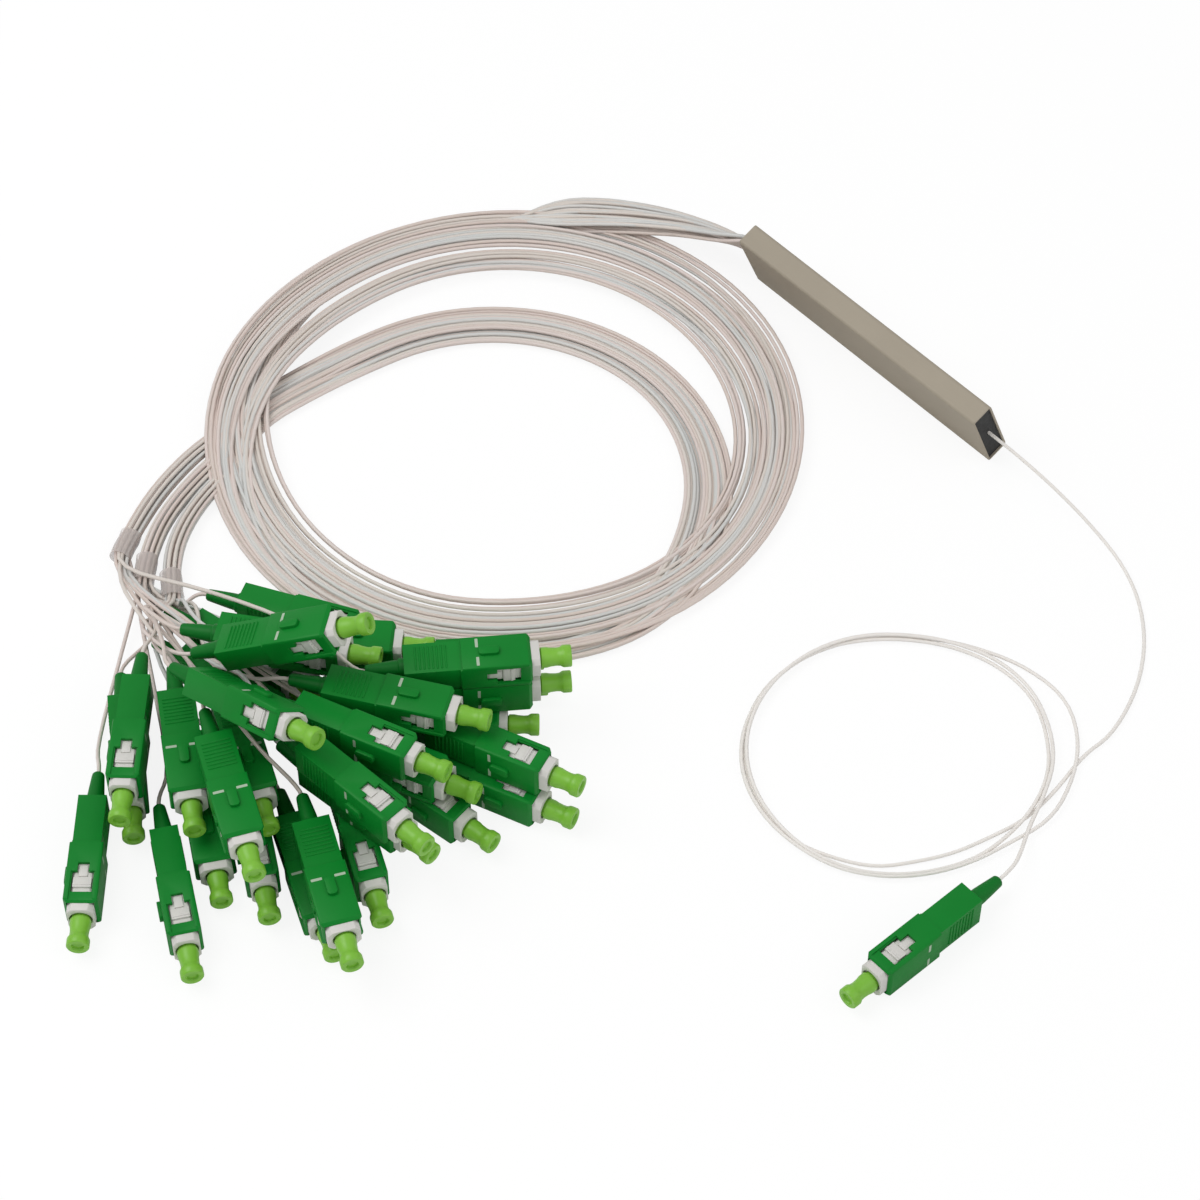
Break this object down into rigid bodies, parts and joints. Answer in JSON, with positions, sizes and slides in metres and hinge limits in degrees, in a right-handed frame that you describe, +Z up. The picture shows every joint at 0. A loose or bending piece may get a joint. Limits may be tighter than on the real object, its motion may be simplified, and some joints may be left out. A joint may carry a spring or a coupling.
{
  "type": "plc fibre splitter",
  "caption": "Flat steel fibre splitter module with a coiled input lead, a coiled bundle of output leads, and square push-pull plugs with dust caps.",
  "frame": {"origin": "middle of the steel module's footprint, on the surface that the part lies on", "axes": "+X along the module from its output end to its input end, +Z up"},
  "size_m": [0.2477, 0.2527, 0.0457],
  "materials": {
    "steel_tube": "bright brushed steel tube",
    "potting": "black potting compound",
    "inner_steel": "plain steel case",
    "black_rubber": "soft black rubber",
    "clear_silicone": "cloudy silicone",
    "silica": "polished silica",
    "bare_fibre": "coated bare fibre",
    "lead_jacket": "smooth off-white loose tube",
    "clear_tape": "clear tape",
    "green_grip": "moulded green plastic",
    "white_frame": "moulded white plastic",
    "ceramic": "polished zirconia",
    "steel_flange": "turned metal",
    "spring_steel": "spring wire",
    "stop_ring_metal": "turned metal",
    "green_boot": "soft green boot",
    "lime_cap": "soft lime plastic"
  },
  "bodies": {
    "splitter": {"module_tube": "steel_tube", "input_end_seal": "potting", "output_end_seal": "potting", "inner_case": "inner_steel", "case_boots": "black_rubber", "case_pads": "clear_silicone", "plc_chip": "silica", "input_fibre_array": "silica", "output_fibre_array": "silica", "input_bare_fibre": "bare_fibre", "output_ribbon": "bare_fibre", "input_lead": "lead_jacket", "input_coil": "lead_jacket", "input_tail": "lead_jacket", "output_bundle": "lead_jacket", "output_coil": "lead_jacket", "output_trunks": "lead_jacket", "tape_wraps": "clear_tape", "output_tails": "lead_jacket", "input_plug_frame": "white_frame", "input_stop_ring": "stop_ring_metal", "input_boot": "green_boot", "ferrule_spring": "spring_steel", "output_connector_01": "green_grip", "output_connector_02": "green_grip", "output_connector_03": "green_grip", "output_connector_04": "green_grip", "output_connector_05": "green_grip", "output_connector_06": "green_grip", "output_connector_07": "green_grip", "output_connector_08": "green_grip", "output_connector_09": "green_grip", "output_connector_10": "green_grip", "output_connector_11": "green_grip", "output_connector_12": "green_grip", "output_connector_13": "green_grip", "output_connector_14": "green_grip", "output_connector_15": "green_grip", "output_connector_16": "green_grip", "output_connector_17": "green_grip", "output_connector_18": "green_grip", "output_connector_19": "green_grip", "output_connector_20": "green_grip", "output_connector_21": "green_grip", "output_connector_22": "green_grip", "output_connector_23": "green_grip", "output_connector_24": "green_grip", "output_connector_25": "green_grip", "output_connector_26": "green_grip", "output_connector_27": "green_grip", "output_connector_28": "green_grip", "output_connector_29": "green_grip", "output_connector_30": "green_grip", "output_connector_31": "green_grip", "output_connector_32": "green_grip"},
    "grip": {"input_grip": "green_grip"},
    "ferrule": {"input_ferrule": "ceramic", "ferrule_flange": "steel_flange"},
    "cap": {"input_dust_cap": "lime_cap"}
  },
  "joints": [
    {"name": "grip_slide", "type": "slide", "parent": "splitter", "child": "grip", "axis": [0, -1, 0], "range_m": [-0.00125, 0.00125]},
    {"name": "ferrule_float", "type": "slide", "parent": "splitter", "child": "ferrule", "axis": [0, -1, 0], "range_m": [-0.0008, 0], "stiffness_N_per_m": 1200, "springref_m": 0.005, "deforming": ["ferrule_spring"]},
    {"name": "cap_pull", "type": "slide", "parent": "ferrule", "child": "cap", "axis": [0, -1, 0], "range_m": [0, 0.009]}
  ]
}
